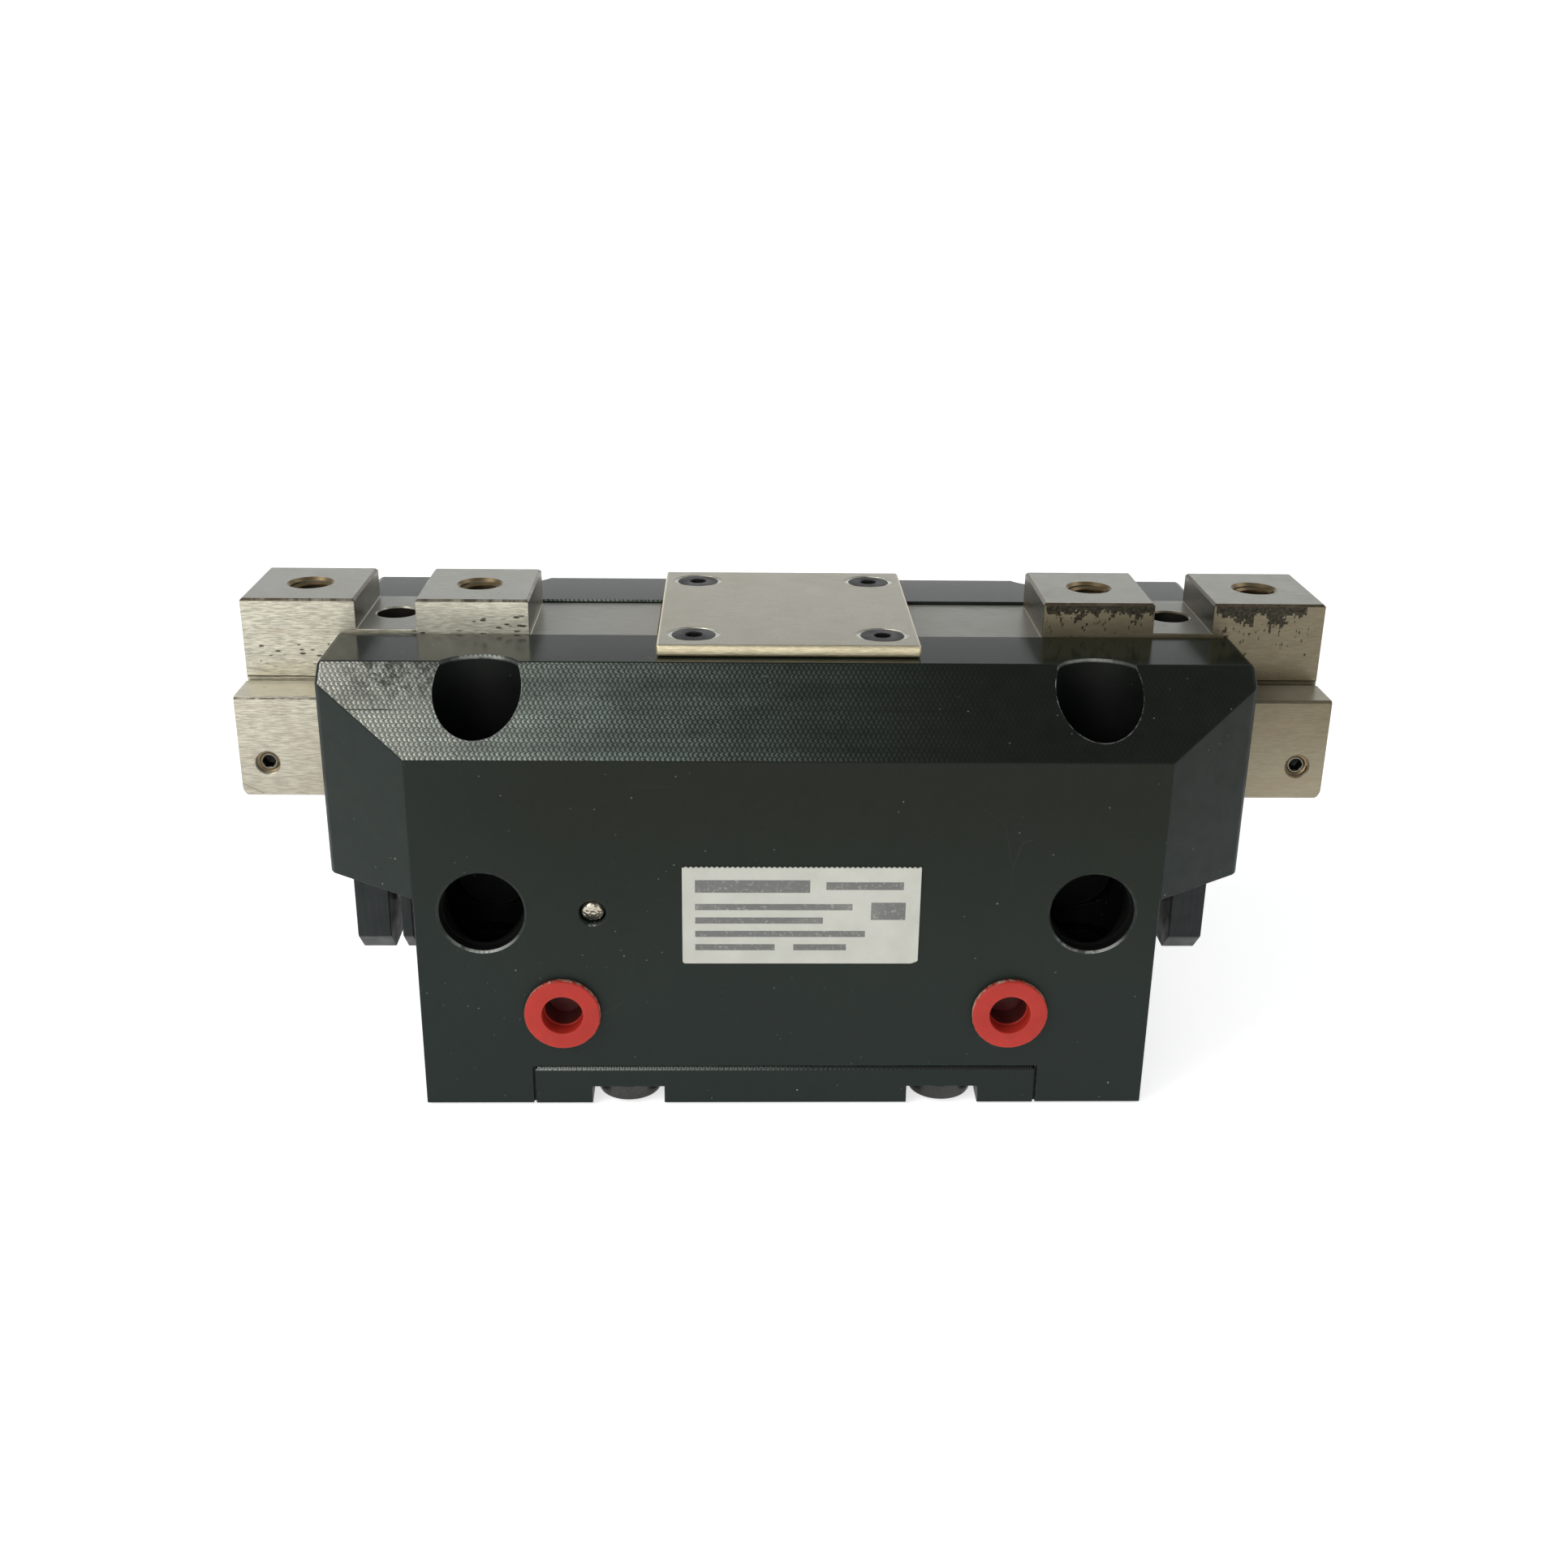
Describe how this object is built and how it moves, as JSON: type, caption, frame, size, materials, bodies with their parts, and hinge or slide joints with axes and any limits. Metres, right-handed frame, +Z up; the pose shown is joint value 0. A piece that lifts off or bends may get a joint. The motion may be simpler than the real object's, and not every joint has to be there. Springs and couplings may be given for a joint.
{
  "type": "parallel pneumatic gripper",
  "caption": "Parallel gripper with two T-guided steel jaws that slide together, driven by opposed pistons in one bore and kept in step by rack and pinion",
  "frame": {"origin": "middle of the underside, on the bottom plate's lower face", "axes": "+X along the jaw travel, to the right seen from the side with the air ports; -Y is the side with the air ports; +Z up, towards the finger pads"},
  "size_m": [0.2122, 0.0929, 0.0922],
  "materials": {
    "anodised_body": "dark hard-anodised, semi-matt",
    "ground_steel": "ground and nickel plated, fine lengthwise grain",
    "plated_cover": "satin, warm grey",
    "dark_block": "black oxide",
    "black_screws": "black oxide",
    "red_plug": "moulded red plastic",
    "label_film": "white film with plain grey bars",
    "magnet": "bonded ferrite",
    "seal_rubber": "nitrile rubber",
    "turned_aluminium": "fine turned",
    "bush_bronze": "sintered bronze",
    "bright_steel": "ground"
  },
  "bodies": {
    "housing": {"housing": "anodised_body", "top_cover_plate": "plated_cover", "bottom_plate": "anodised_body", "axle_seal": "seal_rubber", "pinion_axle": "bright_steel", "ball_plug": "bright_steel", "label": "label_film", "cover_screw_left_front": "black_screws", "cover_screw_left_back": "black_screws", "base_screw_left_front": "black_screws", "base_screw_left_back": "black_screws", "cylinder_head_left": "turned_aluminium", "head_o_ring_left": "seal_rubber", "rod_seal_left": "seal_rubber", "circlip_left": "bright_steel", "port_plug_left": "red_plug", "cover_screw_right_front": "black_screws", "cover_screw_right_back": "black_screws", "base_screw_right_front": "black_screws", "base_screw_right_back": "black_screws", "cylinder_head_right": "turned_aluminium", "head_o_ring_right": "seal_rubber", "rod_seal_right": "seal_rubber", "circlip_right": "bright_steel", "port_plug_right": "red_plug"},
    "left_jaw": {"base_jaw_left": "ground_steel", "driver_left": "dark_block", "driver_screw_left": "black_screws", "piston_rod_left": "bright_steel", "piston_left": "turned_aluminium", "piston_seal_left": "seal_rubber", "magnet_ring_left": "magnet", "rack_left": "bright_steel", "rack_screw_left_1": "black_screws", "rack_screw_left_2": "black_screws", "set_screw_left": "black_screws"},
    "right_jaw": {"base_jaw_right": "ground_steel", "driver_right": "dark_block", "driver_screw_right": "black_screws", "piston_rod_right": "bright_steel", "piston_right": "turned_aluminium", "piston_seal_right": "seal_rubber", "magnet_ring_right": "magnet", "rack_right": "bright_steel", "rack_screw_right_1": "black_screws", "rack_screw_right_2": "black_screws", "set_screw_right": "black_screws"},
    "pinion": {"pinion_gear": "bright_steel", "pinion_bush": "bush_bronze"}
  },
  "joints": [
    {"name": "right_jaw_slide", "type": "slide", "parent": "housing", "child": "right_jaw", "axis": [-1, 0, 0], "range_m": [0, 0.025]},
    {"name": "left_jaw_slide", "type": "slide", "parent": "housing", "child": "left_jaw", "axis": [1, 0, 0], "range_m": [0, 0.025]},
    {"name": "pinion_spin", "type": "hinge", "parent": "housing", "child": "pinion", "pos_m": [0, 0, 0.0504], "axis": [0, 0, 1], "range_deg": [0, 160]}
  ],
  "couplings": [
    {"joint": "left_jaw_slide", "follows": "right_jaw_slide", "ratio": 1},
    {"joint": "pinion_spin", "follows": "right_jaw_slide", "rad_per_m": 111.11}
  ]
}
